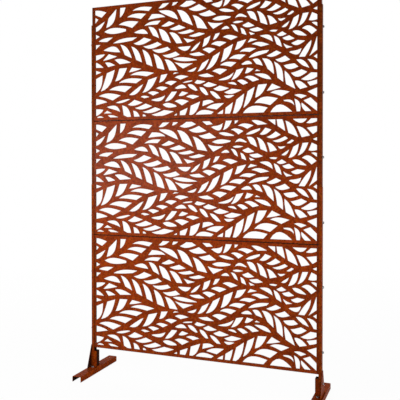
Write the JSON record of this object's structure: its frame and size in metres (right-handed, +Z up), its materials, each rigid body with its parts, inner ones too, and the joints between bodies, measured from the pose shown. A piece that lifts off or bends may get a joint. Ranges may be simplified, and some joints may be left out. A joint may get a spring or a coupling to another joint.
{
  "type": "laser cut metal screen",
  "caption": "Free-standing laser-cut sheet-metal privacy screen: stacked leaf-pattern panels between channel posts on channel feet.",
  "frame": {"origin": "on the floor, at the middle of the screen's width and of the feet's length", "axes": "+X along the screen's width, -Y out of its front face, +Z up"},
  "size_m": [1.2492, 0.372, 1.947],
  "materials": {
    "panel_paint": "mottled rust-brown powder coat, low sheen",
    "frame_paint": "mottled rust-brown powder coat, low sheen",
    "fastener_steel": "dark zinc-plated, satin"
  },
  "bodies": {
    "root": {"lower_panel": "panel_paint", "middle_panel": "panel_paint", "upper_panel": "panel_paint", "left_post_lower": "frame_paint", "right_post_lower": "frame_paint", "left_post_upper": "frame_paint", "right_post_upper": "frame_paint", "left_foot": "frame_paint", "right_foot": "frame_paint", "left_bracket": "frame_paint", "right_bracket": "frame_paint", "left_gusset": "frame_paint", "right_gusset": "frame_paint", "left_panel_bolts": "fastener_steel", "right_panel_bolts": "fastener_steel", "left_panel_nuts": "fastener_steel", "right_panel_nuts": "fastener_steel", "left_panel_washers": "fastener_steel", "right_panel_washers": "fastener_steel", "left_spacers": "fastener_steel", "right_spacers": "fastener_steel", "left_foot_bolts": "fastener_steel", "right_foot_bolts": "fastener_steel", "left_foot_nuts": "fastener_steel", "right_foot_nuts": "fastener_steel", "left_post_bolt": "fastener_steel", "right_post_bolt": "fastener_steel", "left_post_nut": "fastener_steel", "right_post_nut": "fastener_steel"}
  },
  "joints": []
}
